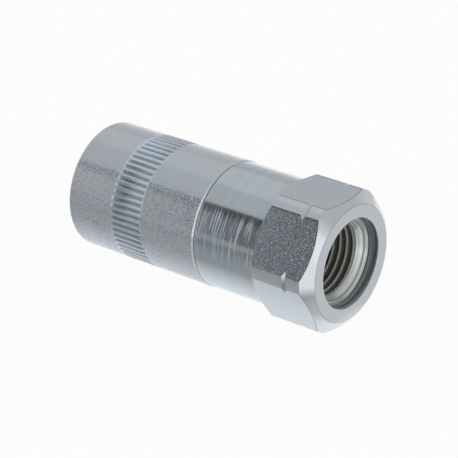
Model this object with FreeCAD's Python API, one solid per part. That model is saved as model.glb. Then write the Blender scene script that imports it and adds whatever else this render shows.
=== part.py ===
import FreeCAD, Part
import math
import os

# Grease coupler: a hexagon body with a threaded inlet, and a sleeve that closes four jaws on a grease
# nipple. Millimetres. The axis lies along X, with the inlet at +X, the nose at -X and one flat down.
# A depth is measured from the inlet face towards the nose. The origin is on the axis, at mid length.

# Hexagon body, outside
across_flats = 15.0
corner_trim = 0.39            # turned off each sharp corner of the hexagon
flat_stand = 0.10             # the flats stand this much above the round barrel
hexagon_length = 7.35
inlet_chamfer_length = 1.07
inlet_chamfer_height = 1.50
far_chamfer_angle = 53.0      # from the axis, on the hexagon's far end
groove_depth = 3.10           # from the inlet face to the middle of the groove round the corners
groove_width = 0.62
groove_height = 0.24
seam_depth = 16.35

# Inlet
mouth_diameter = 10.5
mouth_length = 1.35
mouth_taper = 0.12
mouth_floor_length = 0.95
thread_minor_diameter = 8.566
thread_depth = 8.2

# Check valve
web_thickness = 1.0
passage_diameter = 2.4
ball_diameter = 4.0
ball_lift = 1.0
pocket_clearance = 0.35
seat_clearance = 0.02
check_wire = 0.20
check_spring_length = 1.95
check_spring_turns = 4.0

# Spring chamber, piston and its seals
chamber_diameter = 9.2
spring_seat_thickness = 0.6
spring_seat_hole = 1.8
main_wire = 0.70
main_spring_length = 5.2
main_spring_turns = 3.6
piston_travel = 2.0
skirt_length = 4.4
pilot_length = 0.8
ring_section = 0.90
ring_groove_play = 0.20
flange_thickness = 1.4
flange_step = 0.35
neck_diameter = 4.0
bore_diameter = 2.2
head_length = 2.3
seal_cup_depth = 1.5
seal_wall = 0.8
seal_stand = 0.5
seal_hole = 1.8
seal_edge = 0.25

# Jaws
nipple_head_diameter = 6.5
jaw_mouth_diameter = 5.2
cone_slope = 0.40             # radius gained for each millimetre of depth lost
foot_thickness = 1.2
socket_room = 2.2
grip_length = 0.6
lip_length = 0.7
flare_length = 0.7
flare_height = 0.70
saw_cut = 0.4
tip_recess = 0.45

# Sleeve and the screwed joint
nose_hole_diameter = 8.4
nose_land = 1.1
nose_edge_round = 0.35
nose_flare = 0.35
sleeve_wall = 1.25
knurl_start = 24.1            # the knurl's end towards the inlet
knurl_length = 4.5
knurl_teeth = 60
knurl_groove_width = 0.56
knurl_groove_height = 0.22
knurl_run_out = 0.40
thread_relief = 0.30
relief_length = 0.9
lead_chamfer = 0.25
rear_edge = 0.12
small_chamfer = 0.15
wire_sides = 8

# Clearances
running = 0.05
side_play = 0.10
loose_fit = 0.10
coil_clearance = 0.35            # round the main spring, in its chamber
check_coil_inset = 0.75          # inside the ball, so that the check spring cups it
stop_gap = 0.20

# Radii that follow from these
flat_radius = across_flats / 2
sleeve_radius = flat_radius
barrel_radius = flat_radius - flat_stand
corner_radius = flat_radius / math.cos(math.pi / 6) - corner_trim
thread_radius = thread_minor_diameter / 2
mouth_radius = mouth_diameter / 2
passage_radius = passage_diameter / 2
ball_radius = ball_diameter / 2
pocket_radius = ball_radius + pocket_clearance
chamber_radius = chamber_diameter / 2
main_coil_radius = chamber_radius - coil_clearance - main_wire / 2
check_coil_radius = ball_radius - check_coil_inset - check_wire / 2
skirt_radius = chamber_radius - running
neck_radius = neck_diameter / 2
bore_radius = bore_diameter / 2
nipple_radius = nipple_head_diameter / 2
socket_radius = nipple_radius + side_play
head_radius = socket_radius - 2 * side_play
mouth_opening = jaw_mouth_diameter / 2
sleeve_bore = sleeve_radius - sleeve_wall
spigot_radius = sleeve_bore - running
inner_bore = sleeve_bore - 3 * running
jaw_spread = cone_slope * piston_travel
jaw_radius = inner_bore - jaw_spread - loose_fit
flange_radius = skirt_radius + flange_step
nose_hole_radius = nose_hole_diameter / 2

# Depths, stacked from the inlet face to the nose
valve_start = thread_depth + web_thickness
ball_depth = valve_start - passage_radius + (ball_radius + seat_clearance) * math.sqrt(2)
coil_inside = check_coil_radius - check_wire / 2
check_spring_start = ball_depth + math.sqrt(ball_radius ** 2 - coil_inside ** 2) + seat_clearance
chamber_floor = check_spring_start + check_spring_length + seat_clearance
spring_seat_face = chamber_floor + spring_seat_thickness
skirt_start = spring_seat_face + main_spring_length
flange_start = skirt_start + skirt_length
spigot_end = flange_start - piston_travel - stop_gap
foot_start = flange_start + flange_thickness + side_play
head_start = foot_start + foot_thickness + side_play
head_end = head_start + head_length
seal_front = head_end + seal_stand
grip_start = seal_front + socket_room
lip_start = grip_start + grip_length
flare_start = lip_start + lip_length
jaw_tip = flare_start + flare_length
nose_depth = jaw_tip + tip_recess
cone_end = nose_depth - nose_land
cone_start = cone_end - (inner_bore - nose_hole_radius) / cone_slope

axis = FreeCAD.Vector(1, 0, 0)
middle = FreeCAD.Vector(0, 0, 0)


def place(depth, radius):
    """The point at this depth and radius, in the plane above the axis."""
    return FreeCAD.Vector(nose_depth / 2 - depth, 0, radius)


def outline(corners):
    """A closed face through (depth, radius) corners. A third value rounds that corner."""
    points = [place(corner[0], corner[1]) for corner in corners]
    spans = []
    for index, corner in enumerate(corners):
        here = points[index]
        if len(corner) == 2:
            spans.append((here, None, here))
            continue
        back = (points[index - 1] - here).normalize()
        ahead = (points[(index + 1) % len(points)] - here).normalize()
        half_angle = back.getAngle(ahead) / 2
        reach = corner[2] / math.tan(half_angle)
        crown = corner[2] / math.sin(half_angle) - corner[2]
        spans.append((here + back * reach, here + (back + ahead).normalize() * crown, here + ahead * reach))
    edges = []
    for index, (start, crown, end) in enumerate(spans):
        if crown is not None:
            edges.append(Part.Arc(start, crown, end).toShape())
        edges.append(Part.LineSegment(end, spans[(index + 1) % len(spans)][0]).toShape())
    return Part.Face(Part.Wire(edges))


def turned(corners):
    """A solid turned about the coupler's axis from this outline."""
    return outline(corners).revolve(middle, axis, 360)


def coil(coil_radius, wire, turns, start, length):
    """A wire spring between two flat seats, with its ends ground flat."""
    pitch = length / turns
    helix = Part.makeHelix(pitch, length, coil_radius)
    rim = []
    for side in range(wire_sides + 1):
        angle = 2 * math.pi * side / wire_sides
        rim.append(FreeCAD.Vector(coil_radius + wire / 2 * math.cos(angle), 0, wire / 2 * math.sin(angle)))
    spring = Part.Wire(helix).makePipeShell([Part.makePolygon(rim)], True, True)
    spring.rotate(middle, FreeCAD.Vector(0, 1, 0), -90)
    spring.translate(place(start, 0))
    gauge = Part.makeCylinder(coil_radius + wire, length, place(start, 0), -axis)
    return spring.common(gauge)


def wedge(apex, reach, start, length):
    """A right-angled wedge along the axis, its edge at this radius and its arms spreading outwards."""
    edge = place(start, apex)
    arms = [edge, edge + FreeCAD.Vector(0, reach, reach), edge + FreeCAD.Vector(0, -reach, reach), edge]
    return Part.Face(Part.makePolygon(arms)).extrude(-axis * length)


def around(shape, count):
    """Copies of a shape, spaced evenly about the axis."""
    copies = []
    for number in range(count):
        copy = shape.copy()
        copy.rotate(middle, axis, 360 * number / count)
        copies.append(copy)
    return copies


def hexagon_prism(length):
    """A hexagon across the flats, with one flat down, from the inlet face inwards."""
    sharp_radius = flat_radius / math.cos(math.pi / 6)
    points = []
    for corner in range(7):
        angle = corner * math.pi / 3
        offset = FreeCAD.Vector(0, sharp_radius * math.cos(angle), sharp_radius * math.sin(angle))
        points.append(place(0, 0) + offset)
    return Part.Face(Part.makePolygon(points)).extrude(-axis * length)


def make_body():
    """Hexagon, barrel and screwed spigot in one turned piece, bored from both ends."""
    far_chamfer = (corner_radius - barrel_radius) / math.tan(math.radians(far_chamfer_angle))
    hexagon_end = hexagon_length + far_chamfer
    blank = turned([
        (0, 0),
        (0, corner_radius - inlet_chamfer_height),
        (inlet_chamfer_length, corner_radius),
        (groove_depth - groove_width / 2, corner_radius),
        (groove_depth, corner_radius - groove_height),
        (groove_depth + groove_width / 2, corner_radius),
        (hexagon_length, corner_radius),
        (hexagon_end, barrel_radius),
        (hexagon_end, 0),
    ])
    barrel = turned([
        (hexagon_end, 0),
        (hexagon_end, barrel_radius),
        (seam_depth - rear_edge, barrel_radius),
        (seam_depth, barrel_radius - rear_edge),
        (seam_depth, spigot_radius - thread_relief),
        (seam_depth + relief_length, spigot_radius - thread_relief),
        (seam_depth + relief_length + thread_relief, spigot_radius),
        (spigot_end - lead_chamfer, spigot_radius),
        (spigot_end, spigot_radius - lead_chamfer),
        (spigot_end, 0),
    ])
    inlet = turned([
        (0, 0),
        (0, mouth_radius),
        (mouth_length, mouth_radius - mouth_taper),
        (mouth_length + mouth_floor_length, thread_radius),
        (thread_depth, thread_radius),
        (thread_depth, 0),
    ])
    valve = turned([
        (thread_depth, 0),
        (thread_depth, passage_radius),
        (valve_start, passage_radius),
        (valve_start + pocket_radius - passage_radius, pocket_radius),
        (chamber_floor, pocket_radius),
        (chamber_floor, chamber_radius),
        (spigot_end - lead_chamfer, chamber_radius),
        (spigot_end, chamber_radius + lead_chamfer),
        (spigot_end, 0),
    ])
    hexagon = blank.common(hexagon_prism(hexagon_end))
    return hexagon.fuse(barrel).cut(inlet).cut(valve).removeSplitter()


def make_sleeve():
    """Screwed cap whose inner cone closes the jaws."""
    rear = seam_depth + running
    sleeve = turned([
        (rear, sleeve_bore + lead_chamfer),
        (rear, sleeve_radius - rear_edge),
        (rear + rear_edge, sleeve_radius),
        (nose_depth, sleeve_radius, nose_edge_round),
        (nose_depth, nose_hole_radius + nose_flare),
        (nose_depth - nose_flare, nose_hole_radius),
        (cone_end, nose_hole_radius),
        (cone_start, inner_bore),
        (spigot_end + 2 * stop_gap, inner_bore),
        (spigot_end + 2 * stop_gap, sleeve_bore),
        (rear + lead_chamfer, sleeve_bore),
    ])
    return sleeve.cut(Part.Compound(around(knurl_groove(), knurl_teeth)))


def knurl_groove():
    """What one groove of the straight knurl takes out: a V with a flat floor and sloping ends."""
    floor = sleeve_radius - knurl_groove_height
    outside = sleeve_radius + running
    band = turned([
        (knurl_start, sleeve_radius),
        (knurl_start + knurl_run_out, floor),
        (knurl_start + knurl_length - knurl_run_out, floor),
        (knurl_start + knurl_length, sleeve_radius),
        (knurl_start + knurl_length, outside),
        (knurl_start, outside),
    ])
    groove = wedge(sleeve_radius - knurl_groove_width / 2, knurl_groove_width, knurl_start, knurl_length)
    return band.common(groove)


def cone_radius(depth):
    """Radius of the jaws' outer cone, a running clearance inside the sleeve's."""
    return nose_hole_radius + cone_slope * (cone_end - depth) - running


def make_jaws():
    """Four jaws, sawn from one turned ring with a hooked foot and an inner grip."""
    jaw_cone_start = cone_end - (jaw_radius + running - nose_hole_radius) / cone_slope
    ring = turned([
        (foot_start, neck_radius + side_play),
        (foot_start, jaw_radius - small_chamfer),
        (foot_start + small_chamfer, jaw_radius),
        (jaw_cone_start, jaw_radius),
        (jaw_tip, cone_radius(jaw_tip)),
        (jaw_tip, mouth_opening + flare_height),
        (flare_start, mouth_opening),
        (lip_start, mouth_opening),
        (grip_start, socket_radius),
        (foot_start + foot_thickness, socket_radius),
        (foot_start + foot_thickness, neck_radius + side_play),
    ])
    sector = wedge(saw_cut / math.sqrt(2), 2 * jaw_radius, foot_start, jaw_tip - foot_start)
    return [ring.common(quarter) for quarter in around(sector, 4)]


def make_piston():
    """Seal carrier: skirt in the chamber, flange behind the jaws, neck and head inside them."""
    groove_middle = skirt_start + (spigot_end - skirt_start) / 2
    groove_half = ring_section / 2 + ring_groove_play
    pilot_radius = main_coil_radius - main_wire / 2 - loose_fit
    cup_radius = head_radius - seal_wall
    return turned([
        (skirt_start - pilot_length, bore_radius),
        (skirt_start - pilot_length, pilot_radius - small_chamfer),
        (skirt_start - pilot_length + small_chamfer, pilot_radius),
        (skirt_start, pilot_radius),
        (skirt_start, skirt_radius - small_chamfer),
        (skirt_start + small_chamfer, skirt_radius),
        (groove_middle - groove_half, skirt_radius),
        (groove_middle - groove_half, skirt_radius - ring_section),
        (groove_middle + groove_half, skirt_radius - ring_section),
        (groove_middle + groove_half, skirt_radius),
        (flange_start, skirt_radius),
        (flange_start, flange_radius),
        (flange_start + flange_thickness - small_chamfer, flange_radius),
        (flange_start + flange_thickness, flange_radius - small_chamfer),
        (flange_start + flange_thickness, neck_radius),
        (head_start, neck_radius),
        (head_start, head_radius - small_chamfer),
        (head_start + small_chamfer, head_radius),
        (head_end - small_chamfer, head_radius),
        (head_end, head_radius - small_chamfer),
        (head_end, cup_radius),
        (head_end - seal_cup_depth, cup_radius),
        (head_end - seal_cup_depth, bore_radius),
    ])


def make_mouth_seal():
    """Rubber bush in the piston's cup, hollowed at the front to meet the nipple."""
    outer = head_radius - seal_wall - seat_clearance
    return turned([
        (head_end - seal_cup_depth + seat_clearance, seal_hole / 2),
        (head_end - seal_cup_depth + seat_clearance, outer),
        (seal_front - seal_edge, outer),
        (seal_front, outer - seal_edge),
        (seal_front, (outer + seal_hole / 2) / 2),
        (head_end, seal_hole / 2),
    ])


def make_piston_ring():
    """Rubber ring in the skirt's groove."""
    groove_middle = skirt_start + (spigot_end - skirt_start) / 2
    ring_radius = chamber_radius - seat_clearance - ring_section / 2
    return Part.makeTorus(ring_radius, ring_section / 2, place(groove_middle, 0), axis)


def make_spring_seat():
    """Washer that carries the main spring and traps the check spring."""
    return turned([
        (chamber_floor, spring_seat_hole / 2),
        (chamber_floor, chamber_radius - loose_fit),
        (spring_seat_face - small_chamfer, chamber_radius - loose_fit),
        (spring_seat_face, chamber_radius - loose_fit - small_chamfer),
        (spring_seat_face, spring_seat_hole / 2),
    ])


def make_main_spring():
    """Spring that drives the piston and jaws into the sleeve's cone."""
    start = spring_seat_face + seat_clearance
    length = main_spring_length - 2 * seat_clearance
    return coil(main_coil_radius, main_wire, main_spring_turns, start, length)


def make_check_spring():
    """Light spring behind the check ball."""
    return coil(check_coil_radius, check_wire, check_spring_turns, check_spring_start, check_spring_length)


def make_check_ball():
    """Hard ball on the conical seat."""
    return Part.makeSphere(ball_radius, place(ball_depth, 0))


pieces = {
    "body": make_body(),
    "jaw_sleeve": make_sleeve(),
    "piston": make_piston(),
    "mouth_seal": make_mouth_seal(),
    "piston_o_ring": make_piston_ring(),
    "main_spring": make_main_spring(),
    "spring_seat": make_spring_seat(),
    "check_spring": make_check_spring(),
    "check_ball": make_check_ball(),
}
for number, jaw in enumerate(make_jaws(), start=1):
    pieces["jaw_" + str(number)] = jaw

os.makedirs("parts", exist_ok=True)
for name, shape in pieces.items():
    solid = shape.Solids[0]
    solid.exportStep("parts/" + name + ".step")
    print(name, "solids", len(shape.Solids), "valid", shape.isValid(), "volume", round(shape.Volume, 2))
print("length", round(nose_depth, 3), "spring seat face", round(spring_seat_face, 3))
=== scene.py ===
import math

import bmesh
import bpy
from mathutils import Matrix, Vector


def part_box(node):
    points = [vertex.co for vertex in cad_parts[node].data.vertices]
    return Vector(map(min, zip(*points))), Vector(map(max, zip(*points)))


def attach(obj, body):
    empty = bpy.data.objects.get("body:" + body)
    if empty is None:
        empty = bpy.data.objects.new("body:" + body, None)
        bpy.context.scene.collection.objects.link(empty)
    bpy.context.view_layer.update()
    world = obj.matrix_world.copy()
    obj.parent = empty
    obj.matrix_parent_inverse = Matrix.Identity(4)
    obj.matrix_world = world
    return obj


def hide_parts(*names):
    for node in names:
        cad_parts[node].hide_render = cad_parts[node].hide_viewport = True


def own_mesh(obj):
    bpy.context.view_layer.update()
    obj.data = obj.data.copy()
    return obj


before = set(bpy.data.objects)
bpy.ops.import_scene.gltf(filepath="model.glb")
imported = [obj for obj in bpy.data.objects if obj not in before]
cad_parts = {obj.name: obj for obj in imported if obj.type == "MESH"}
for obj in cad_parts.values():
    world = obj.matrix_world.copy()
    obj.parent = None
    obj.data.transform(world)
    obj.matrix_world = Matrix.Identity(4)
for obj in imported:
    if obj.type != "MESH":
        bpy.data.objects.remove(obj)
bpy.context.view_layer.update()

# The camera stands where the photographer stood: to the right of the inlet and a little above it.
# Its place is given from the middle of the inlet face, and the lens is as long as the perspective asks.
MM = 0.001
SENSOR = 36.0
FOCAL_PIXELS = 2115.0
PICTURE_PIXELS = 458.0
INLET_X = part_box("body")[1][0]
eye = Vector((118.36, -170.11, 104.70)) * MM + Vector((INLET_X, 0, 0))
looking = Vector((-0.5605, 0.7038, -0.4365)).normalized()
upright = Vector((-0.2651, 0.3468, 0.8997))
rightward = looking.cross(upright).normalized()
upward = rightward.cross(looking)
camera_data = bpy.data.cameras.new("camera")
camera_data.sensor_width = SENSOR
camera_data.lens = FOCAL_PIXELS * SENSOR / PICTURE_PIXELS
camera_data.clip_start = 0.01
camera = bpy.data.objects.new("camera", camera_data)
bpy.context.scene.collection.objects.link(camera)
turn = Matrix((rightward, upward, -looking)).transposed()
camera.matrix_world = Matrix.Translation(eye) @ turn.to_4x4()
bpy.context.scene.camera = camera
bpy.context.scene.view_settings.view_transform = "Standard"

# The sheet of white paper that the coupler lies on. The camera sees it pure white, with a trace of the
# coupler's shadow, and the metal sees it fall off towards the photographer's side.
FLOOR_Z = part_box("body")[0][2]
FLOOR_HALF = 1.5
SHADOW_SHARE = 0.05
PAPER_SHADE = 0.9
paper_light = [(-0.040, 0.22), (-0.012, 0.41), (-0.006, 0.90), (-0.003, 1.0)]       # (Y, light in the metal)
BEFORE_INLET_X = (0.0175, 0.0195, 1, 0.68)        # a fade: from, to, light at from, light at to
BEYOND_INLET_X = (0.021, 0.030, 0, 1)
BEYOND_INLET_Y = (-0.004, 0.002, 1, 0)
LEAST_LIGHT_X = (-0.038, -0.012, 0.40, 0.20)


def new_material(name):
    """An empty node material."""
    material = bpy.data.materials.new(name)
    material.use_nodes = True
    material.node_tree.nodes.clear()
    return material, material.node_tree.nodes, material.node_tree.links


def spread(nodes, links, value, low, high, to_low, to_high):
    """Stretches a value from one range to another."""
    stretched = nodes.new("ShaderNodeMapRange")
    stretched.inputs["From Min"].default_value = low
    stretched.inputs["From Max"].default_value = high
    stretched.inputs["To Min"].default_value = to_low
    stretched.inputs["To Max"].default_value = to_high
    links.new(value, stretched.inputs["Value"])
    return stretched.outputs[0]


def worked_out(nodes, links, operation, first, second=0.0):
    """One step of arithmetic on two sockets or numbers."""
    step = nodes.new("ShaderNodeMath")
    step.operation = operation
    for value, socket in zip((first, second), step.inputs):
        if isinstance(value, (int, float)):
            socket.default_value = value
        else:
            links.new(value, socket)
    return step.outputs[0]


def white_paper():
    """Matt white that glows where it is seen directly or in the metal."""
    material, nodes, links = new_material("white_paper")
    matt = nodes.new("ShaderNodeBsdfDiffuse")
    matt.inputs["Color"].default_value = (PAPER_SHADE, PAPER_SHADE, PAPER_SHADE, 1)
    where = nodes.new("ShaderNodeTexCoord")
    split = nodes.new("ShaderNodeSeparateXYZ")
    links.new(where.outputs["Object"], split.inputs[0])
    along, across = split.outputs["X"], split.outputs["Y"]
    fall = nodes.new("ShaderNodeValToRGB")
    near, far = paper_light[0][0], paper_light[-1][0]
    stops = fall.color_ramp.elements
    for place, _ in paper_light[1:-1]:
        stops.new((place - near) / (far - near))
    for stop, (_, light) in zip(stops, paper_light):
        stop.color = (light, light, light, 1)
    links.new(spread(nodes, links, across, near, far, 0, 1), fall.inputs[0])
    before_inlet = worked_out(nodes, links, "MULTIPLY", fall.outputs[0],
                              spread(nodes, links, along, *BEFORE_INLET_X))
    beyond_inlet = worked_out(nodes, links, "MULTIPLY", spread(nodes, links, along, *BEYOND_INLET_X),
                              spread(nodes, links, across, *BEYOND_INLET_Y))
    lit = worked_out(nodes, links, "MAXIMUM", before_inlet, beyond_inlet)
    lit = worked_out(nodes, links, "MAXIMUM", lit, spread(nodes, links, along, *LEAST_LIGHT_X))
    path = nodes.new("ShaderNodeLightPath")
    straight = worked_out(nodes, links, "MAXIMUM", path.outputs["Is Camera Ray"],
                          path.outputs["Is Transmission Ray"])
    glow = nodes.new("ShaderNodeEmission")
    links.new(worked_out(nodes, links, "MAXIMUM", straight, lit), glow.inputs["Strength"])
    seen = worked_out(nodes, links, "MAXIMUM", straight, path.outputs["Is Glossy Ray"])
    mix = nodes.new("ShaderNodeMixShader")
    links.new(worked_out(nodes, links, "MULTIPLY", seen, 1 - SHADOW_SHARE), mix.inputs[0])
    links.new(matt.outputs[0], mix.inputs[1])
    links.new(glow.outputs[0], mix.inputs[2])
    output = nodes.new("ShaderNodeOutputMaterial")
    links.new(mix.outputs[0], output.inputs["Surface"])
    return material


def finished(name, bm, *materials):
    """Makes an object of a bmesh, with its materials, and links it to the scene."""
    mesh = bpy.data.meshes.new(name)
    bm.to_mesh(mesh)
    bm.free()
    for material in materials:
        mesh.materials.append(material)
    piece = bpy.data.objects.new(name, mesh)
    bpy.context.scene.collection.objects.link(piece)
    return piece


floor_bm = bmesh.new()
bmesh.ops.create_grid(floor_bm, x_segments=1, y_segments=1, size=FLOOR_HALF)
bmesh.ops.translate(floor_bm, verts=floor_bm.verts, vec=(0, 0, FLOOR_Z))
paper = finished("paper", floor_bm, white_paper())

# The room, as the metal sees it: a pale tent, brighter towards the horizon, with the unlit room showing
# through its opening on the photographer's side. The camera itself sees plain white. Edges and fades are
# parts of a direction one unit long, or say how nearly it points to a place.
TENT_LIGHT = 0.69
HORIZON_LIGHT = 0.90
HORIZON_FADE_Z = (0.0, 0.30)
INLET_SIDE = Vector((0.95, -0.28, 0.08)).normalized()
INLET_SIDE_LIGHT = 1.05
INLET_SIDE_FADE = (0.80, 0.95)
OPENING = Vector((-0.50, -0.80, 0.33)).normalized()
OPENING_EDGE = 0.884
OPENING_EDGE_FADE = 0.005
OPENING_MIDDLE_X = -0.56
OPENING_HALF_WIDTH = 0.24
OPENING_SIDE_FADE = 0.08
OPENING_LIGHT = 0.72
OPENING_LIGHT_AT_INLET = 0.155
OPENING_LIGHT_FADE_X = (-0.610, -0.560)
OPENING_RIM_SHARE = 0.45
OPENING_RIM_FADE_Z = (0.46, 0.56)
FILL_LIGHT = 0.70

world = bpy.data.worlds.new("studio")
bpy.context.scene.world = world
world.use_nodes = True
room = world.node_tree.nodes
room_links = world.node_tree.links
room.clear()
direction = room.new("ShaderNodeTexCoord")
split_direction = room.new("ShaderNodeSeparateXYZ")
room_links.new(direction.outputs["Generated"], split_direction.inputs[0])


def towards(place):
    """How nearly a direction points to this place: 1 when it does."""
    facing = room.new("ShaderNodeVectorMath")
    facing.operation = "DOT_PRODUCT"
    facing.inputs[1].default_value = place
    room_links.new(direction.outputs["Generated"], facing.inputs[0])
    return facing.outputs["Value"]


walls = spread(room, room_links, split_direction.outputs["Z"], *HORIZON_FADE_Z, HORIZON_LIGHT, TENT_LIGHT)
inlet_side = spread(room, room_links, towards(INLET_SIDE), *INLET_SIDE_FADE, TENT_LIGHT, INLET_SIDE_LIGHT)
tent = worked_out(room, room_links, "MAXIMUM", walls, inlet_side)
dim_room = spread(room, room_links, split_direction.outputs["X"], *OPENING_LIGHT_FADE_X, OPENING_LIGHT,
                  OPENING_LIGHT_AT_INLET)
dark_rim = spread(room, room_links, split_direction.outputs["Z"], *OPENING_RIM_FADE_Z, 1, OPENING_RIM_SHARE)
opening = worked_out(room, room_links, "MULTIPLY", dim_room, dark_rim)
beside = worked_out(room, room_links, "ABSOLUTE",
                    worked_out(room, room_links, "SUBTRACT", split_direction.outputs["X"], OPENING_MIDDLE_X))
between = spread(room, room_links, beside, OPENING_HALF_WIDTH, OPENING_HALF_WIDTH + OPENING_SIDE_FADE, 1, 0)
below_edge = spread(room, room_links, towards(OPENING), OPENING_EDGE - OPENING_EDGE_FADE,
                    OPENING_EDGE + OPENING_EDGE_FADE, 0, 1)
inside = worked_out(room, room_links, "MULTIPLY", between, below_edge)
seen_light = room.new("ShaderNodeMix")
room_links.new(inside, seen_light.inputs[0])
room_links.new(tent, seen_light.inputs[2])
room_links.new(opening, seen_light.inputs[3])
ray = room.new("ShaderNodeLightPath")
mirrored = room.new("ShaderNodeMix")
mirrored.inputs[2].default_value = FILL_LIGHT
room_links.new(ray.outputs["Is Glossy Ray"], mirrored.inputs[0])
room_links.new(seen_light.outputs[0], mirrored.inputs[3])
seen_white = worked_out(room, room_links, "MAXIMUM", mirrored.outputs[0], ray.outputs["Is Camera Ray"])
backdrop = room.new("ShaderNodeBackground")
room_links.new(seen_white, backdrop.inputs["Strength"])
room_output = room.new("ShaderNodeOutputWorld")
room_links.new(backdrop.outputs[0], room_output.inputs["Surface"])


def softbox(name, place, size, power):
    """A square lamp that faces the coupler."""
    lamp_data = bpy.data.lights.new(name, "AREA")
    lamp_data.size = size
    lamp_data.energy = power
    lamp = bpy.data.objects.new(name, lamp_data)
    bpy.context.scene.collection.objects.link(lamp)
    facing = Vector(place).to_track_quat("Z", "Y").to_matrix().to_4x4()
    lamp.matrix_world = Matrix.Translation(place) @ facing


softbox("overhead_softbox", (-0.25, 0.30, 0.55), size=0.60, power=0.12)
softbox("right_softbox", (0.60, -0.15, 0.12), size=0.30, power=0.06)

# Hexagon body: turned from hexagon bar, bored and tapped for the grease gun's hose, cut with a fine
# thread for the sleeve, and zinc plated. The flats are the bar's own drawn, slightly pitted surface.
TURN_STEPS = 240
SHARP_ANGLE = math.radians(18)
LONG_RUN = 0.5
ROUNDING_STEP = 0.3
SUPPORT = 0.06
THREAD_STEPS = 90
RIDGE_FOOT = 0.46             # half widths of a thread's groove, as shares of its pitch
RIDGE_TIP = 0.06
RIDGE_OVERLAP = 0.15          # how far the tool stands clear of the crest, as a share of the thread's height
SAME_POINT = 1e-7             # metres within which two points of a mesh become one
DRAWN_FINISH = 1
INLET_FINISH = 2
AXIS = Vector((1, 0, 0))
ACROSS_FLATS = 15.0
CORNER_RADIUS = 8.27
BARREL_START = 8.006
BARREL_RADIUS = 7.40
SEAM = 16.35
FACE_EDGE_RADIUS = 6.77
INLET_CHAMFER = 1.07
MOUTH_RADIUS = 5.25
INLET_MINOR_RADIUS = 4.283
INLET_MAJOR_RADIUS = 4.90
INLET_PITCH = 0.907
INLET_THREAD_START = 2.55
INLET_THREAD_LENGTH = 5.4
INLET_END = 8.20
PASSAGE_RADIUS = 1.20
POCKET_RADIUS = 2.35
CHAMBER_FLOOR = 14.549
CHAMBER_RADIUS = 4.60
SPIGOT_RADIUS = 6.20
SPIGOT_RELIEF_RADIUS = 5.90
SPIGOT_ROOT_RADIUS = 5.72
SPIGOT_PITCH = 1.0
SPIGOT_THREAD_START = 17.1
SPIGOT_THREAD_LENGTH = 6.2
SPIGOT_END = 22.549
body_profile = [
    (0.00, MOUTH_RADIUS, 0.06), (0.00, FACE_EDGE_RADIUS, 0.05), (INLET_CHAMFER, CORNER_RADIUS, 0.05),
    (2.79, CORNER_RADIUS, 0), (3.10, 8.03, 0), (3.41, CORNER_RADIUS, 0), (7.35, CORNER_RADIUS, 0.05),
    (BARREL_START, BARREL_RADIUS, 0), (16.23, BARREL_RADIUS, 0.03), (SEAM, 7.28, 0),
    (SEAM, SPIGOT_RELIEF_RADIUS, 0), (17.25, SPIGOT_RELIEF_RADIUS, 0), (17.55, SPIGOT_RADIUS, 0),
    (SPIGOT_END - 0.25, SPIGOT_RADIUS, 0), (SPIGOT_END, 5.95, 0.05), (SPIGOT_END, 4.85, 0.05),
    (SPIGOT_END - 0.25, CHAMBER_RADIUS, 0), (CHAMBER_FLOOR, CHAMBER_RADIUS, 0),
    (CHAMBER_FLOOR, POCKET_RADIUS, 0), (10.35, POCKET_RADIUS, 0), (9.20, PASSAGE_RADIUS, 0.04),
    (INLET_END, PASSAGE_RADIUS, 0), (INLET_END, INLET_MINOR_RADIUS, 0), (2.42, INLET_MINOR_RADIUS, 0.04),
    (1.76, 4.78, 0), (1.68, 4.80, 0), (1.64, 4.97, 0), (1.35, 5.13, 0.04),
]
inlet_zones = [
    (0.10, 1.33, 5.10, 5.24),     # the mouth's wall: from depth to depth, from radius to radius
    (2.5, 8.1, 4.2, 4.3),         # the thread's crests
]


def at(depth, radius=0.0):
    """The point this many millimetres behind the inlet face and above the axis."""
    return Vector((INLET_X - depth * MM, 0, radius * MM))


def turned(profile, steps=TURN_STEPS):
    """A bmesh turned about the axis from (depth, radius, rounding) corners in millimetres.

    A long run gets a ring close to each rounded end, which keeps its shading straight."""
    bm = bmesh.new()
    corners = [bm.verts.new(at(depth, radius)) for depth, radius, _ in profile]
    bm.faces.new(corners)
    for size in sorted({rounding for _, _, rounding in profile if rounding > 0}):
        chosen = [corner for corner, (_, _, rounding) in zip(corners, profile) if rounding == size]
        bmesh.ops.bevel(bm, geom=chosen, offset=size * MM, segments=3, profile=0.5, affect="VERTICES",
                        material=-1, offset_type="OFFSET")
    for edge in [edge for edge in bm.edges if edge.calc_length() > LONG_RUN * MM]:
        for end in list(edge.verts):
            if min(beside.calc_length() for beside in end.link_edges) < ROUNDING_STEP * MM:
                bmesh.utils.edge_split(edge, end, SUPPORT * MM / edge.calc_length())
    bmesh.ops.delete(bm, geom=list(bm.faces), context="FACES_ONLY")
    bmesh.ops.spin(bm, geom=list(bm.verts) + list(bm.edges), cent=(0, 0, 0), axis=AXIS,
                   angle=2 * math.pi, steps=steps, use_merge=True)
    bmesh.ops.remove_doubles(bm, verts=bm.verts, dist=SAME_POINT)
    bmesh.ops.recalc_face_normals(bm, faces=bm.faces)
    return bm


def cut_flat(bm, distance, normal, material_index=0):
    """Cuts away what lies beyond a plane and closes the cut."""
    cut = bmesh.ops.bisect_plane(bm, geom=list(bm.verts) + list(bm.edges) + list(bm.faces), dist=SAME_POINT,
                                 plane_co=normal * distance * MM, plane_no=normal, clear_outer=True)
    rim = [part for part in cut["geom_cut"] if isinstance(part, bmesh.types.BMEdge)]
    for face in bmesh.ops.holes_fill(bm, edges=rim, sides=0)["faces"]:
        face.material_index = material_index


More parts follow.
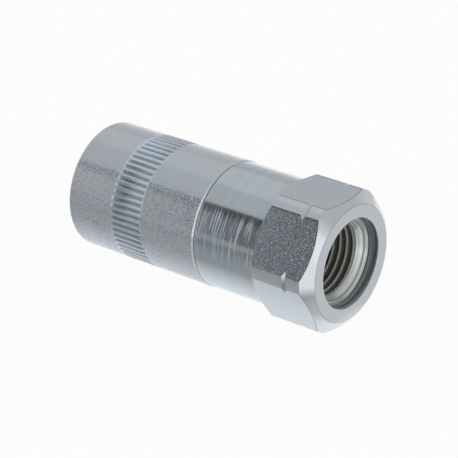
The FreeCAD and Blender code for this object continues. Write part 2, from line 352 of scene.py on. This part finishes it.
def smooth_between_edges(bm, soft_finish=None):
    """Smooth shading that stops at every real edge. Faces of the soft finish stay smooth among themselves
    and stop at the faces beside them."""
    for face in bm.faces:
        face.smooth = True
    for edge in bm.edges:
        if len(edge.link_faces) == 2:
            finishes = {face.material_index for face in edge.link_faces}
            at_corner = edge.calc_face_angle(0) > SHARP_ANGLE and finishes != {soft_finish}
            at_soft_rim = soft_finish in finishes and len(finishes) == 2
            if at_corner or at_soft_rim:
                edge.smooth = False


def thread_tool(name, start, length, open_radius, root_radius, pitch, material_index=0):
    """A coiled ridge with sloping flanks, which cuts one thread."""
    bm = bmesh.new()
    foot_radius = open_radius + (open_radius - root_radius) * RIDGE_OVERLAP
    ridge = [bm.verts.new(at(start + pitch * RIDGE_FOOT, foot_radius)),
             bm.verts.new(at(start - pitch * RIDGE_FOOT, foot_radius)),
             bm.verts.new(at(start - pitch * RIDGE_TIP, root_radius)),
             bm.verts.new(at(start + pitch * RIDGE_TIP, root_radius))]
    blank = bm.faces.new(ridge)
    turns = length / pitch
    count = round(THREAD_STEPS * turns)
    bmesh.ops.spin(bm, geom=[blank], cent=(0, 0, 0), axis=AXIS, angle=2 * math.pi * turns, steps=count,
                   dvec=-AXIS * length * MM / count)
    bmesh.ops.remove_doubles(bm, verts=bm.verts, dist=SAME_POINT)
    open_edges = [edge for edge in bm.edges if len(edge.link_faces) == 1]
    bmesh.ops.holes_fill(bm, edges=open_edges, sides=0)
    bmesh.ops.recalc_face_normals(bm, faces=bm.faces)
    for face in bm.faces:
        face.material_index = material_index
    return finished(name, bm)


def cut_threads(piece, tools, soft_finish=None):
    """Cuts the thread tools out of a piece, and puts them away."""
    for tool in tools:
        cut = piece.modifiers.new(tool.name, "BOOLEAN")
        cut.operation = "DIFFERENCE"
        cut.solver = "EXACT"
        cut.object = tool
    shaped = piece.evaluated_get(bpy.context.evaluated_depsgraph_get())
    bm = bmesh.new()
    bm.from_mesh(shaped.to_mesh())
    piece.modifiers.clear()
    bmesh.ops.remove_doubles(bm, verts=bm.verts, dist=SAME_POINT)
    smooth_between_edges(bm, soft_finish)
    bm.to_mesh(piece.data)
    bm.free()
    for tool in tools:
        bpy.data.objects.remove(tool)


def metal(name, metallic=1.0):
    """A metal with its object coordinates, ready for its own colour, polish and grain."""
    material, nodes, links = new_material(name)
    shader = nodes.new("ShaderNodeBsdfPrincipled")
    shader.inputs["Metallic"].default_value = metallic
    output = nodes.new("ShaderNodeOutputMaterial")
    links.new(shader.outputs[0], output.inputs["Surface"])
    where = nodes.new("ShaderNodeTexCoord")
    return material, nodes, links, shader, where.outputs["Object"]


def turning_lines(nodes, links, where, per_mm, length_mm=30.0, detail=2.0):
    """Noise that changes fast along the axis and slowly around it, as a lathe tool leaves."""
    stretch = nodes.new("ShaderNodeMapping")
    stretch.inputs["Scale"].default_value = (per_mm / MM, 1 / (length_mm * MM), 1 / (length_mm * MM))
    links.new(where, stretch.inputs["Vector"])
    lines = nodes.new("ShaderNodeTexNoise")
    lines.inputs["Scale"].default_value = 1.0
    lines.inputs["Detail"].default_value = detail
    links.new(stretch.outputs[0], lines.inputs["Vector"])
    return lines.outputs["Fac"]


def grain(nodes, links, where, size_mm, detail=2.0):
    """Even noise with grains of this size."""
    spots = nodes.new("ShaderNodeTexNoise")
    spots.inputs["Scale"].default_value = 1.0 / (size_mm * MM)
    spots.inputs["Detail"].default_value = detail
    links.new(where, spots.inputs["Vector"])
    return spots.outputs["Fac"]


def tinted(nodes, links, value, dark, light, shader=None):
    """A tint between two by a value, which colours the metal when it is given."""
    mix = nodes.new("ShaderNodeMix")
    mix.data_type = "RGBA"
    for colour, socket in ((dark, mix.inputs[6]), (light, mix.inputs[7])):
        if isinstance(colour, tuple):
            socket.default_value = (*colour, 1)
        else:
            links.new(colour, socket)
    links.new(value, mix.inputs[0])
    if shader:
        links.new(mix.outputs[2], shader.inputs["Base Color"])
    return mix.outputs[2]


def raised(nodes, links, value, height_mm, shader, below=None):
    """Gives the surface a relief of this height."""
    bump = nodes.new("ShaderNodeBump")
    bump.inputs["Strength"].default_value = 1.0
    bump.inputs["Distance"].default_value = height_mm * MM
    links.new(value, bump.inputs["Height"])
    if below is not None:
        links.new(below, bump.inputs["Normal"])
    links.new(bump.outputs[0], shader.inputs["Normal"])
    return bump.outputs[0]


def spread_open(nodes, links, value, zero, one):
    """A value counted from one place to another, without end stops."""
    counted = nodes.new("ShaderNodeMapRange")
    counted.clamp = False
    counted.inputs["From Min"].default_value = zero
    counted.inputs["From Max"].default_value = one
    links.new(value, counted.inputs["Value"])
    return counted.outputs[0]


def depth_and_radius(nodes, links, where):
    """Millimetres behind the inlet face, and from the axis."""
    split = nodes.new("ShaderNodeSeparateXYZ")
    links.new(where, split.inputs[0])
    depth = spread_open(nodes, links, split.outputs["X"], INLET_X, INLET_X - MM)
    sides = nodes.new("ShaderNodeCombineXYZ")
    links.new(split.outputs["Y"], sides.inputs["Y"])
    links.new(split.outputs["Z"], sides.inputs["Z"])
    length = nodes.new("ShaderNodeVectorMath")
    length.operation = "LENGTH"
    links.new(sides.outputs[0], length.inputs[0])
    return depth, worked_out(nodes, links, "DIVIDE", length.outputs["Value"], MM)


def most_between(nodes, links, where, low_mm, high_mm, fade_mm, least):
    """1 between two heights beside the axis, and fading to the least value above and below them."""
    split = nodes.new("ShaderNodeSeparateXYZ")
    links.new(where, split.inputs[0])
    low, high, fade = low_mm * MM, high_mm * MM, fade_mm * MM
    return worked_out(nodes, links, "MINIMUM",
                      spread(nodes, links, split.outputs["Z"], low - fade, low, least, 1),
                      spread(nodes, links, split.outputs["Z"], high, high + fade, 1, least))


def polished(nodes, links, value, low, high, at_low, at_high, shader):
    """Sets the metal's roughness by a value."""
    links.new(spread(nodes, links, value, low, high, at_low, at_high), shader.inputs["Roughness"])


def stained(nodes, links, where, colour):
    """The colour with soft warm stains, as zinc takes in the bath."""
    warm_grey = (0.66, 0.655, 0.655)
    clouds = grain(nodes, links, where, size_mm=2.2, detail=4.0)
    return tinted(nodes, links, spread(nodes, links, clouds, 0.46, 0.66, 0, 0.60), colour, warm_grey)


def turned_zinc():
    """Bright blue zinc over turned steel: fine rings round the axis, and pale scratches on the barrel's
    side. The trimmed corners, the inlet's end and its mouth are paler, and the two corners at mid-height
    are paler still with a painted highlight."""
    blue, light_blue = (0.545, 0.63, 0.705), (0.59, 0.68, 0.75)
    upper_corner, painted_highlight_side_corner = (0.66, 0.71, 0.76), (0.77, 0.81, 0.86)
    end_grey, mouth_white, ring_grey = (0.70, 0.735, 0.77), (0.82, 0.86, 0.84), (0.30, 0.33, 0.32)
    scratch_white, edge_brown = (0.82, 0.89, 0.97), (0.22, 0.19, 0.165)
    material, nodes, links, shader, where = metal("turned_zinc")
    depth, radius = depth_and_radius(nodes, links, where)
    broad = turning_lines(nodes, links, where, per_mm=2.2)
    fine = turning_lines(nodes, links, where, per_mm=9.0)

    plain = tinted(nodes, links, spread(nodes, links, broad, 0.35, 0.65, 0, 1), blue, light_blue)
    plain = stained(nodes, links, where, plain)
    # painted highlight: the two corners at mid-height are tinted paler than the others
    corner = tinted(nodes, links, most_between(nodes, links, where, -2.0, 2.0, 1.0, 0), upper_corner,
                    painted_highlight_side_corner)
    trimmed = tinted(nodes, links, spread(nodes, links, radius, 7.95, 8.10, 0, 1), plain, corner)
    front = tinted(nodes, links, spread(nodes, links, depth, 1.00, 1.15, 1, 0), trimmed, end_grey)
    mouth = spread(nodes, links, radius, 5.20, 5.26, 1, 0)
    in_mouth = tinted(nodes, links, mouth, front, mouth_white)
    rings = worked_out(nodes, links, "MULTIPLY", mouth, spread(nodes, links, fine, 0.38, 0.46, 0.7, 0))
    ringed = tinted(nodes, links, rings, in_mouth, ring_grey)

    strokes = turning_lines(nodes, links, where, per_mm=7.0, length_mm=4.5, detail=1.5)
    barrel_side = worked_out(nodes, links, "MULTIPLY", spread(nodes, links, depth, 8.0, 8.3, 0, 1),
                             most_between(nodes, links, where, 0.0, 4.2, 0.9, 0))
    scratches = worked_out(nodes, links, "MULTIPLY", spread(nodes, links, strokes, 0.555, 0.625, 0, 1),
                           barrel_side)
    scratched = tinted(nodes, links, scratches, ringed, scratch_white)
    off_edge = worked_out(nodes, links, "ABSOLUTE",
                          worked_out(nodes, links, "SUBTRACT", radius, FACE_EDGE_RADIUS))
    edge_line = worked_out(nodes, links, "MULTIPLY", spread(nodes, links, off_edge, 0.03, 0.09, 1, 0),
                           spread(nodes, links, depth, 0.05, 0.12, 0.35, 0))
    tinted(nodes, links, edge_line, scratched, edge_brown, shader)

    polish = worked_out(nodes, links, "MAXIMUM", spread(nodes, links, fine, 0.3, 0.7, 0.08, 0.20),
                        spread(nodes, links, radius, 5.2, 5.3, 0.32, 0))
    scratch_roughness = worked_out(nodes, links, "MULTIPLY", scratches, 0.60)
    links.new(worked_out(nodes, links, "MAXIMUM", polish, scratch_roughness), shader.inputs["Roughness"])

    uneven = worked_out(nodes, links, "MULTIPLY", broad,
                        most_between(nodes, links, where, -3.0, 4.2, 1.0, 0.3))
    waves = raised(nodes, links, uneven, 0.002, shader)
    outside_lines = worked_out(nodes, links, "MULTIPLY", fine, spread(nodes, links, radius, 5.0, 5.1, 0, 0.6))
    lines = raised(nodes, links, outside_lines, 0.001, shader, below=waves)
    raised(nodes, links, scratches, 0.0015, shader, below=lines)
    return material


def drawn_zinc():
    """Zinc over the drawn bar's flats: close small pits on the side, a dark line where the chamfer starts
    and a fainter line of painted shade along the upper corners."""
    blue, pit_blue, line_brown = (0.60, 0.685, 0.765), (0.67, 0.74, 0.83), (0.16, 0.14, 0.13)
    material, nodes, links, shader, where = metal("drawn_zinc")
    depth, radius = depth_and_radius(nodes, links, where)
    pits = spread(nodes, links, grain(nodes, links, where, size_mm=0.14), 0.60, 0.70, 0, 1)
    plain = stained(nodes, links, where, tinted(nodes, links, pits, blue, pit_blue))

    cone = worked_out(nodes, links, "MULTIPLY", depth, (CORNER_RADIUS - FACE_EDGE_RADIUS) / INLET_CHAMFER)
    cone_radius = worked_out(nodes, links, "ADD", cone, FACE_EDGE_RADIUS)
    room_left = worked_out(nodes, links, "SUBTRACT", cone_radius, radius)
    chamfer_line = spread(nodes, links, room_left, 0.08, 0.20, 0.75, 0)
    # painted shade: a faint dark line along the two upper corners only
    painted_shade_corner_line = worked_out(nodes, links, "MULTIPLY",
                             spread(nodes, links, radius, CORNER_RADIUS - 0.11, CORNER_RADIUS - 0.04, 0, 0.5),
                             most_between(nodes, links, where, 5.5, 7.6, 1.0, 0))
    line = worked_out(nodes, links, "MAXIMUM", chamfer_line, painted_shade_corner_line)
    tinted(nodes, links, line, plain, line_brown, shader)
    polished(nodes, links, pits, 0, 1, 0.13, 0.55, shader)

    pitted = worked_out(nodes, links, "MULTIPLY", pits,
                        most_between(nodes, links, where, 0.1, 7.1, 0.3, 0.12))
    deep = raised(nodes, links, pitted, 0.009, shader)
    dust = worked_out(nodes, links, "MULTIPLY", grain(nodes, links, where, size_mm=0.10),
                      most_between(nodes, links, where, 0.1, 7.1, 0.3, 0.1))
    raised(nodes, links, dust, 0.0065, shader, below=deep)
    return material


def inlet_zinc():
    """Zinc in the inlet: teal on the mouth's wall, and pale crests over a dark brown thread."""
    teal, light_teal = (0.10, 0.14, 0.15), (0.46, 0.54, 0.55)
    crest_white, thread_brown = (0.92, 0.91, 0.86), (0.22, 0.205, 0.185)
    material, nodes, links, shader, where = metal("inlet_zinc", metallic=0.2)
    _, radius = depth_and_radius(nodes, links, where)
    lines = turning_lines(nodes, links, where, per_mm=5.0)
    wall = tinted(nodes, links, spread(nodes, links, lines, 0.43, 0.57, 0, 1), teal, light_teal)
    below_crest = spread(nodes, links, radius, INLET_MINOR_RADIUS + 0.04, INLET_MINOR_RADIUS + 0.09, 0, 1)
    thread = tinted(nodes, links, below_crest, crest_white, thread_brown)
    tinted(nodes, links, spread(nodes, links, radius, 4.95, 5.05, 0, 1), thread, wall, shader)
    polished(nodes, links, lines, 0.3, 0.7, 0.30, 0.46, shader)
    raised(nodes, links, lines, 0.003, shader)
    return material


body_bm = turned(body_profile)
for face in body_bm.faces:
    middle = face.calc_center_median()
    depth, radius = (INLET_X - middle.x) / MM, math.hypot(middle.y, middle.z) / MM
    if any(near < depth < far and low < radius < high for near, far, low, high in inlet_zones):
        face.material_index = INLET_FINISH
for corner in range(6):
    tilt = math.radians(30 + 60 * corner)
    cut_flat(body_bm, ACROSS_FLATS / 2, Vector((0, math.cos(tilt), math.sin(tilt))), DRAWN_FINISH)
hexagon_body = finished("hexagon_body", body_bm, turned_zinc(), drawn_zinc(), inlet_zinc())
inlet_tap = thread_tool("inlet_tap", INLET_THREAD_START, INLET_THREAD_LENGTH, INLET_MINOR_RADIUS,
                        INLET_MAJOR_RADIUS, INLET_PITCH, INLET_FINISH)
spigot_die = thread_tool("spigot_die", SPIGOT_THREAD_START, SPIGOT_THREAD_LENGTH, SPIGOT_RADIUS,
                         SPIGOT_ROOT_RADIUS, SPIGOT_PITCH)
cut_threads(hexagon_body, [inlet_tap, spigot_die])
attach(hexagon_body, "root")
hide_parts("body")

# Knurled sleeve: a screwed cap turned from bar and zinc plated to a dull, grainy finish, with one band
# of straight knurling to grip it by. Its inner cone closes the jaws.
KNURL_START = 24.1
KNURL_END = 28.6
KNURL_TEETH = 60
KNURL_SLANT = 0.17
KNURL_HEIGHT = 0.22
KNURL_RUN_OUT = 0.25
KNURL_FINISH = 1
SLEEVE_REAR = 16.40
SLEEVE_RADIUS = 7.5
SLEEVE_BORE = 6.25
SLEEVE_ROOT_RADIUS = 6.62
SLEEVE_THREAD_LENGTH = 5.8
SCREW_END = 22.949
CONE_START = 29.149
INNER_BORE = 6.10
NOSE_HOLE_RADIUS = 4.20
NOSE = SLEEVE_REAR + (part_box("jaw_sleeve")[1][0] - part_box("jaw_sleeve")[0][0]) / MM
sleeve_profile = [
    (SLEEVE_REAR, 6.50, 0), (SLEEVE_REAR, 7.35, 0.03), (SLEEVE_REAR + 0.18, SLEEVE_RADIUS, 0.03),
    (KNURL_START, SLEEVE_RADIUS, 0), (KNURL_END, SLEEVE_RADIUS, 0), (NOSE, SLEEVE_RADIUS, 0.35),
    (NOSE, 4.55, 0.06), (NOSE - 0.35, NOSE_HOLE_RADIUS, 0.05), (NOSE - 1.10, NOSE_HOLE_RADIUS, 0.05),
    (CONE_START, INNER_BORE, 0.05), (SCREW_END, INNER_BORE, 0), (SCREW_END, SLEEVE_BORE, 0),
    (SLEEVE_REAR + 0.25, SLEEVE_BORE, 0),
]


def press_knurl(bm):
    """Presses the straight knurl's grooves into the turned sleeve, with sloping sides and ends.

    The whole band, ridges and grooves, gets the sleeve's second finish."""
    low, high = at(KNURL_END).x, at(KNURL_START).x
    steps_per_tooth = TURN_STEPS // KNURL_TEETH
    groove_faces = []
    for face in bm.faces:
        middle = face.calc_center_median()
        if low < middle.x < high and math.hypot(middle.y, middle.z) > SLEEVE_BORE * MM:
            face.material_index = KNURL_FINISH
            turn = math.atan2(middle.z, middle.y) % (2 * math.pi)
            if int(turn / (2 * math.pi) * TURN_STEPS) % steps_per_tooth:
                groove_faces.append(face)
    slopes = bmesh.ops.inset_region(bm, faces=groove_faces, thickness=KNURL_SLANT * MM,
                                    depth=-KNURL_HEIGHT * MM, use_even_offset=True)["faces"]
    for face in slopes:
        face.material_index = KNURL_FINISH
    for vertex in {vertex for face in groove_faces for vertex in face.verts}:
        vertex.co.x += math.copysign(KNURL_RUN_OUT * MM, (low + high) / 2 - vertex.co.x)
    bmesh.ops.recalc_face_normals(bm, faces=bm.faces)


def dull_zinc():
    """Dull zinc with a fine crystalline grain and brighter specks, dark pits on the side, and a painted
    highlight along the edge at the seam."""
    blue, speck_blue, pit_grey = (0.60, 0.665, 0.735), (0.66, 0.725, 0.80), (0.30, 0.32, 0.36)
    # the colour of the painted highlight on the seam's edge
    seam_highlight_white = (0.91, 0.96, 1.0)
    material, nodes, links, shader, where = metal("dull_zinc", metallic=0.62)
    depth, _ = depth_and_radius(nodes, links, where)
    crystals = grain(nodes, links, where, size_mm=0.17)
    specks = spread(nodes, links, crystals, 0.55, 0.63, 0, 1)
    plain = stained(nodes, links, where, tinted(nodes, links, specks, blue, speck_blue))
    pits = worked_out(nodes, links, "MULTIPLY", spread(nodes, links, crystals, 0.36, 0.43, 0.75, 0),
                      most_between(nodes, links, where, -4.5, 4.2, 1.5, 0.08))
    pitted = tinted(nodes, links, pits, plain, pit_grey)
    # painted highlight: a bright line along the sleeve's edge at the seam, strongest round its sides
    painted_seam_highlight = worked_out(nodes, links, "MULTIPLY",
                           spread(nodes, links, depth, SLEEVE_REAR + 0.17, SLEEVE_REAR + 0.24, 1, 0),
                           most_between(nodes, links, where, -1.5, 4.5, 2.5, 0.25))
    tinted(nodes, links, painted_seam_highlight, pitted, seam_highlight_white, shader)
    polished(nodes, links, specks, 0, 1, 0.12, 0.50, shader)
    waves = raised(nodes, links, grain(nodes, links, where, size_mm=0.55), 0.008, shader)
    coarse = worked_out(nodes, links, "MULTIPLY", specks,
                        most_between(nodes, links, where, -2.0, 3.8, 2.5, 0.15))
    raised(nodes, links, coarse, 0.015, shader, below=waves)
    return material


def knurl_zinc_painted_light():
    """Bright zinc on the knurl's ridges and slopes as painted highlight, and teal darkened by painted shade
    on the floors of its grooves.
    """
    blue, light_blue, teal_painted_shade = (0.66, 0.76, 0.87), (0.84, 0.91, 0.99), (0.20, 0.31, 0.37)
    material, nodes, links, shader, where = metal("knurl_zinc_painted_light", metallic=0.85)
    _, radius = depth_and_radius(nodes, links, where)
    crystals = grain(nodes, links, where, size_mm=0.15)
    # painted highlight: the knurl is given a much paler zinc than the rest of the sleeve
    painted_bright_knurl = tinted(nodes, links, spread(nodes, links, crystals, 0.38, 0.66, 0, 1), blue, light_blue)
    # painted shade: the floors of the grooves darken to teal
    groove_floor_shade = spread(nodes, links, radius, SLEEVE_RADIUS - KNURL_HEIGHT + 0.02, SLEEVE_RADIUS - 0.06,
                      0.75, 0)
    tinted(nodes, links, groove_floor_shade, painted_bright_knurl, teal_painted_shade, shader)
    polished(nodes, links, crystals, 0.3, 0.7, 0.14, 0.36, shader)
    raised(nodes, links, crystals, 0.012, shader)
    return material


sleeve_bm = turned(sleeve_profile)
press_knurl(sleeve_bm)
knurled_sleeve = finished("knurled_sleeve", sleeve_bm, dull_zinc(), knurl_zinc_painted_light())
sleeve_tap = thread_tool("sleeve_tap", SLEEVE_REAR, SLEEVE_THREAD_LENGTH, SLEEVE_BORE, SLEEVE_ROOT_RADIUS,
                         SPIGOT_PITCH)
cut_threads(knurled_sleeve, [sleeve_tap], soft_finish=KNURL_FINISH)
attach(knurled_sleeve, "sleeve")
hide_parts("jaw_sleeve")

# Jaws: one ring of hardened steel, turned with a hooked foot, a ground outer cone and an inner lip, and
# then sawn into four. The sleeve's cone closes them behind the nipple's head.
SAW_CUT = 0.4
JAW_REAR = 26.249
JAW_TIP = 34.549
JAW_RADIUS = 5.20
FOOT_FRONT = 27.449
FOOT_RADIUS = 2.10
SOCKET_RADIUS = 3.35
LIP_RADIUS = 2.60
jaw_profile = [
    (JAW_REAR, FOOT_RADIUS, 0.05), (JAW_REAR, JAW_RADIUS, 0.12), (31.274, JAW_RADIUS, 0.10),
    (JAW_TIP, 3.89, 0.08), (JAW_TIP, 3.30, 0.08), (33.849, LIP_RADIUS, 0.10), (33.149, LIP_RADIUS, 0.10),
    (32.549, SOCKET_RADIUS, 0.05), (FOOT_FRONT, SOCKET_RADIUS, 0.05), (FOOT_FRONT, FOOT_RADIUS, 0.05),
]
jaw_directions = [Vector((0, 0, 1)), Vector((0, -1, 0)), Vector((0, 0, -1)), Vector((0, 1, 0))]


def hardened_steel():
    """Oil-blackened hard steel, ground brighter in rings, with worn specks."""
    black, ground_grey = (0.17, 0.17, 0.175), (0.34, 0.335, 0.33)
    material, nodes, links, shader, where = metal("hardened_steel")
    rings = turning_lines(nodes, links, where, per_mm=6.0)
    tinted(nodes, links, spread(nodes, links, rings, 0.35, 0.68, 0, 1), black, ground_grey, shader)
    polished(nodes, links, grain(nodes, links, where, size_mm=0.6), 0.3, 0.7, 0.24, 0.42, shader)
    raised(nodes, links, rings, 0.003, shader)
    return material


jaw_steel = hardened_steel()
for number, outward in enumerate(jaw_directions, start=1):
    jaw_bm = turned(jaw_profile)
    across = AXIS.cross(outward)
    cut_flat(jaw_bm, -SAW_CUT / 2, (across - outward).normalized())
    cut_flat(jaw_bm, -SAW_CUT / 2, (-across - outward).normalized())
    smooth_between_edges(jaw_bm)
    gripping_jaw = finished("gripping_jaw_" + str(number), jaw_bm, jaw_steel)
    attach(gripping_jaw, "jaw_" + str(number))
    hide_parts("jaw_" + str(number))

# Piston: turned steel, with a skirt that slides in the body's chamber, a flange behind the jaws, a neck
# that their feet hook round, and a cup in its head for the mouth seal.
PISTON_REAR = 19.549
SKIRT_RADIUS = 4.55
RING_GROOVE_RADIUS = 3.65
FLANGE_REAR = 24.749
NECK_RADIUS = 2.00
HEAD_RADIUS = 3.15
HEAD_FRONT = 29.849
CUP_FLOOR = 28.349
CUP_RADIUS = 2.35
PISTON_BORE_RADIUS = 1.10
piston_profile = [
    (PISTON_REAR, PISTON_BORE_RADIUS, 0.05), (PISTON_REAR, 3.45, 0.14), (20.349, 3.45, 0),
    (20.349, SKIRT_RADIUS, 0.14), (20.799, SKIRT_RADIUS, 0.04), (20.799, RING_GROOVE_RADIUS, 0.06),
    (22.099, RING_GROOVE_RADIUS, 0.06), (22.099, SKIRT_RADIUS, 0.04), (FLANGE_REAR, SKIRT_RADIUS, 0),
    (FLANGE_REAR, 4.90, 0.04), (26.149, 4.90, 0.14), (26.149, NECK_RADIUS, 0.08),
    (27.549, NECK_RADIUS, 0.08), (27.549, HEAD_RADIUS, 0.14), (HEAD_FRONT, HEAD_RADIUS, 0.14),
    (HEAD_FRONT, CUP_RADIUS, 0.04), (CUP_FLOOR, CUP_RADIUS, 0), (CUP_FLOOR, PISTON_BORE_RADIUS, 0.05),
]


def oiled_steel():
    """Plain turned steel, bright under a film of oil."""
    grey, light_grey = (0.42, 0.42, 0.41), (0.58, 0.58, 0.57)
    material, nodes, links, shader, where = metal("oiled_steel")
    rings = turning_lines(nodes, links, where, per_mm=5.0)
    tinted(nodes, links, spread(nodes, links, rings, 0.35, 0.68, 0, 1), grey, light_grey, shader)
    polished(nodes, links, grain(nodes, links, where, size_mm=1.2), 0.3, 0.7, 0.16, 0.34, shader)
    raised(nodes, links, rings, 0.004, shader)
    return material


plain_steel = oiled_steel()
piston_bm = turned(piston_profile)
smooth_between_edges(piston_bm)
turned_piston = finished("turned_piston", piston_bm, plain_steel)
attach(turned_piston, "piston")
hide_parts("piston")

# Mouth seal and piston ring: black nitrile rubber, moulded. The seal sits in the piston's cup with its
# hollowed front on the nipple, and the ring seals the skirt in its chamber.
SEAL_STEPS = 120
SEAL_REAR = 28.369
SEAL_FRONT = 30.349
SEAL_RADIUS = 2.33
SEAL_HOLE_RADIUS = 0.90
RING_STEPS = 160
RING_SIDES = 32
RING_RADIUS = 4.13
RING_SECTION_RADIUS = 0.45
RING_DEPTH = 21.449
seal_profile = [
    (SEAL_REAR, SEAL_HOLE_RADIUS, 0.08), (SEAL_REAR, SEAL_RADIUS, 0.08), (30.099, SEAL_RADIUS, 0.06),
    (SEAL_FRONT, 2.08, 0.10), (SEAL_FRONT, 1.615, 0.08), (29.849, SEAL_HOLE_RADIUS, 0.08),
]


def nitrile_rubber():
    """Black moulded rubber with a faint bloom and a fine, even skin."""
    black, bloom_grey = (0.016, 0.016, 0.017), (0.042, 0.042, 0.044)
    material, nodes, links, shader, where = metal("nitrile_rubber", metallic=0.0)
    bloom = grain(nodes, links, where, size_mm=0.8, detail=4.0)
    skin = grain(nodes, links, where, size_mm=0.09)
    tinted(nodes, links, spread(nodes, links, bloom, 0.4, 0.7, 0, 1), black, bloom_grey, shader)
    polished(nodes, links, bloom, 0.3, 0.7, 0.38, 0.58, shader)
    raised(nodes, links, skin, 0.004, shader)
    return material


rubber = nitrile_rubber()
seal_bm = turned(seal_profile, steps=SEAL_STEPS)
smooth_between_edges(seal_bm)
nipple_seal = finished("nipple_seal", seal_bm, rubber)
ring_bm = bmesh.new()
section = bmesh.ops.create_circle(ring_bm, cap_ends=False, radius=RING_SECTION_RADIUS * MM,
                                  segments=RING_SIDES)
bmesh.ops.rotate(ring_bm, verts=section["verts"], cent=(0, 0, 0),
                 matrix=Matrix.Rotation(math.pi / 2, 3, "X"))
bmesh.ops.translate(ring_bm, verts=section["verts"], vec=at(RING_DEPTH, RING_RADIUS))
bmesh.ops.spin(ring_bm, geom=list(ring_bm.verts) + list(ring_bm.edges), cent=(0, 0, 0), axis=AXIS,
               angle=2 * math.pi, steps=RING_STEPS, use_merge=True)
bmesh.ops.remove_doubles(ring_bm, verts=ring_bm.verts, dist=SAME_POINT)
bmesh.ops.recalc_face_normals(ring_bm, faces=ring_bm.faces)
smooth_between_edges(ring_bm)
skirt_ring = finished("skirt_ring", ring_bm, rubber)
for rubber_piece, node in ((nipple_seal, "mouth_seal"), (skirt_ring, "piston_o_ring")):
    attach(rubber_piece, "piston")
    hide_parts(node)

# Spring seat: a turned steel washer that stands on the chamber's floor. It carries the main spring and
# keeps the check spring in its pocket.
SEAT_FACE = 15.149
SEAT_RADIUS = 4.50
SEAT_HOLE_RADIUS = 0.90
SEAT_STEPS = 160
seat_profile = [
    (CHAMBER_FLOOR, SEAT_HOLE_RADIUS, 0.04), (CHAMBER_FLOOR, SEAT_RADIUS, 0.04),
    (SEAT_FACE, SEAT_RADIUS, 0.13), (SEAT_FACE, SEAT_HOLE_RADIUS, 0.06),
]
seat_bm = turned(seat_profile, steps=SEAT_STEPS)
smooth_between_edges(seat_bm)
seat_washer = finished("seat_washer", seat_bm, plain_steel)
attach(seat_washer, "root")
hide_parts("spring_seat")

# Springs: coiled from round drawn wire, with ends ground flat. The main spring drives the piston and the
# jaws into the sleeve's cone, and the check spring holds the ball on its seat.
MAIN_LENGTH = 5.16
CHECK_LENGTH = 1.95
COIL_STEPS = 72
WIRE_SIDES = 20
SPARE_TURNS = 0.15            # wound beyond each end and cut off again, as a share of the spring
SAME_CUT = 1e-8               # metres within which a point lies on the cut


def wound_spring(name, coil_radius, wire, turns, start, length, material):
    """A coil of round wire from this depth on, cut flat at both ends."""
    bm = bmesh.new()
    whole = turns * (1 + 2 * SPARE_TURNS)
    count = round(COIL_STEPS * whole)
    ring = bmesh.ops.create_circle(bm, cap_ends=False, radius=wire / 2 * MM, segments=WIRE_SIDES)
    bmesh.ops.rotate(bm, verts=ring["verts"], cent=(0, 0, 0), matrix=Matrix.Rotation(math.pi / 2, 3, "X"))
    bmesh.ops.translate(bm, verts=ring["verts"], vec=at(start - SPARE_TURNS * length, coil_radius))
    bmesh.ops.spin(bm, geom=list(bm.verts) + list(bm.edges), cent=(0, 0, 0), axis=AXIS,
                   angle=2 * math.pi * whole, steps=count,
                   dvec=-AXIS * length * (1 + 2 * SPARE_TURNS) * MM / count)
    bmesh.ops.remove_doubles(bm, verts=bm.verts, dist=SAME_POINT)
    for end, way in ((start, AXIS), (start + length, -AXIS)):
        bmesh.ops.bisect_plane(bm, geom=list(bm.verts) + list(bm.edges) + list(bm.faces), dist=SAME_CUT,
                               plane_co=at(end), plane_no=way, clear_outer=True)
    rims = [edge for edge in bm.edges if len(edge.link_faces) == 1]
    bmesh.ops.holes_fill(bm, edges=rims, sides=0)
    bmesh.ops.recalc_face_normals(bm, faces=bm.faces)
    smooth_between_edges(bm)
    spring = finished(name, bm, material)
    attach(spring, "root")
    return spring


def drawn_wire():
    """Drawn spring wire, brown-grey under oil, with fine draw marks."""
    brown_grey, light_grey = (0.34, 0.33, 0.31), (0.52, 0.51, 0.49)
    material, nodes, links, shader, where = metal("drawn_wire")
    marks = grain(nodes, links, where, size_mm=0.12, detail=3.0)
    tinted(nodes, links, spread(nodes, links, marks, 0.35, 0.68, 0, 1), brown_grey, light_grey, shader)
    polished(nodes, links, marks, 0.3, 0.7, 0.20, 0.38, shader)
    raised(nodes, links, marks, 0.003, shader)
    return material


spring_steel = drawn_wire()
jaw_spring = wound_spring("jaw_spring", coil_radius=3.90, wire=0.70, turns=3.6, start=15.169,
                          length=MAIN_LENGTH, material=spring_steel)
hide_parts("main_spring")
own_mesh(jaw_spring)
ball_spring = wound_spring("ball_spring", coil_radius=1.15, wire=0.20, turns=4.0, start=12.579,
                           length=CHECK_LENGTH, material=spring_steel)
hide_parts("check_spring")
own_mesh(ball_spring)

# Check ball: a polished bearing ball of hard steel on the cone at the end of the inlet's passage. The
# solid's own sphere is kept.


def polished_steel():
    """Mirror-bright steel with faint handling marks."""
    bright, mark_grey = (0.74, 0.74, 0.75), (0.66, 0.66, 0.66)
    material, nodes, links, shader, where = metal("polished_steel")
    marks = grain(nodes, links, where, size_mm=0.5, detail=5.0)
    tinted(nodes, links, spread(nodes, links, marks, 0.4, 0.7, 0, 1), bright, mark_grey, shader)
    polished(nodes, links, marks, 0.4, 0.7, 0.05, 0.16, shader)
    return material


check_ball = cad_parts["check_ball"]
check_ball.data.materials.clear()
check_ball.data.materials.append(polished_steel())
